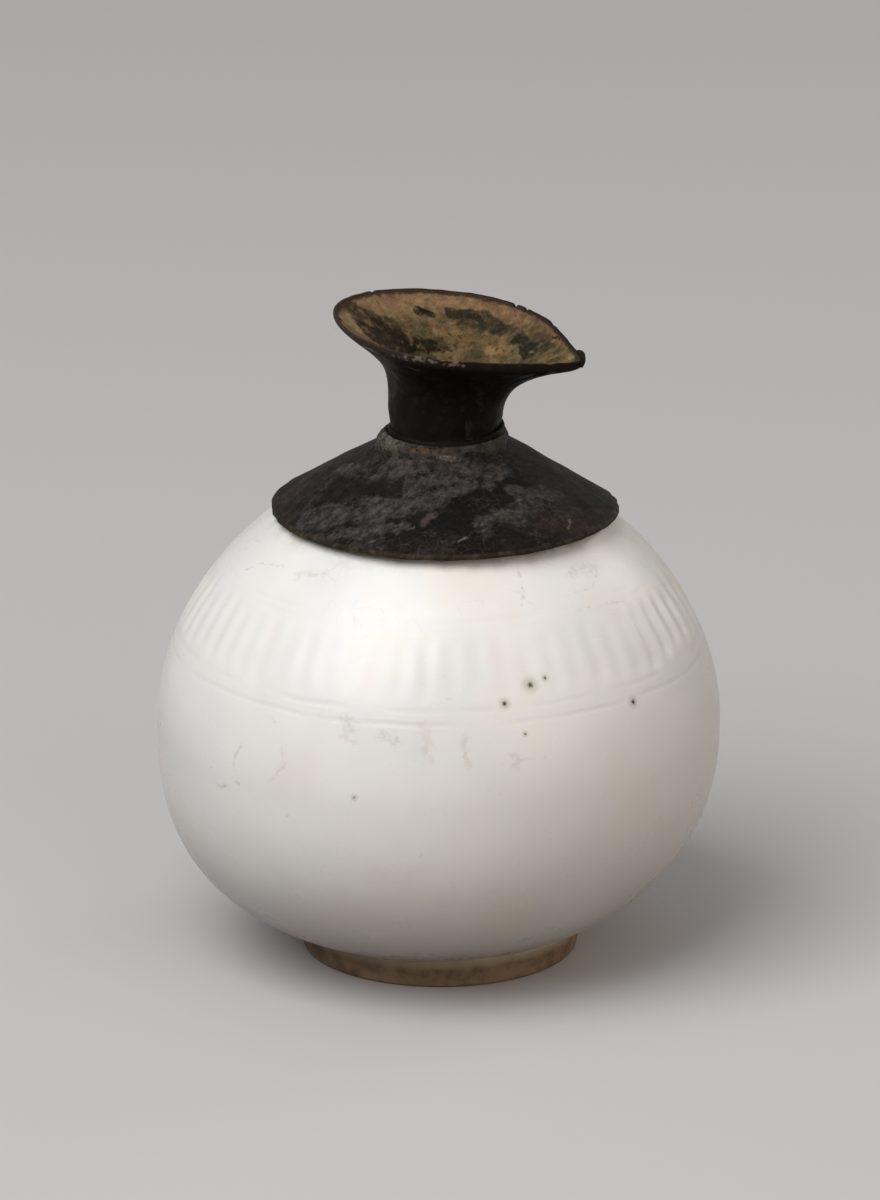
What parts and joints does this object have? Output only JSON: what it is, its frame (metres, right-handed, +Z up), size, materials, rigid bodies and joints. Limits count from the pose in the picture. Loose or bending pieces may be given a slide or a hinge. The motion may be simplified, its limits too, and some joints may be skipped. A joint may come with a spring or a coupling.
{
  "type": "spittoon",
  "caption": "Round glazed jar on a low foot with a loose metal mouthpiece: a cone over the shoulder, a short neck and a tilted bowl that runs out to a beak.",
  "frame": {"origin": "centre of the belly's widest circle, at the height of the floor that the foot stands on", "axes": "+Z up, -Y towards the front of the picture, +X to its right, with the mouth's beak at the front right"},
  "size_m": [0.13, 0.13, 0.1522],
  "materials": {
    "porcelain": "glossy white glaze, faint crackle and iron specks, bare brown clay on the foot",
    "tarnished_sheet": "blackish brown tarnish, scuffed grey",
    "black_neck": "near-black satin outside, buff deposit inside the bowl",
    "solder": "rough dull grey solder with rusty pits",
    "hemp": "wound fibre, matte"
  },
  "bodies": {
    "jar": {"jar_body": "porcelain"},
    "packing": {"packing_ring": "hemp"},
    "mouthpiece": {"tenon_sleeve": "tarnished_sheet", "flange_solder": "solder", "shoulder_cone": "tarnished_sheet", "solder_bead": "solder", "neck_collar": "black_neck", "mouth_funnel": "black_neck"}
  },
  "joints": [
    {"name": "mouth_turn", "type": "hinge", "parent": "jar", "child": "packing", "pos_m": [0.0015, 0, 0.1125], "axis": [0, 0, 1], "continuous": true},
    {"name": "mouth_lift", "type": "slide", "parent": "packing", "child": "mouthpiece", "axis": [0, 0, 1], "range_m": [0, 0.04]}
  ]
}
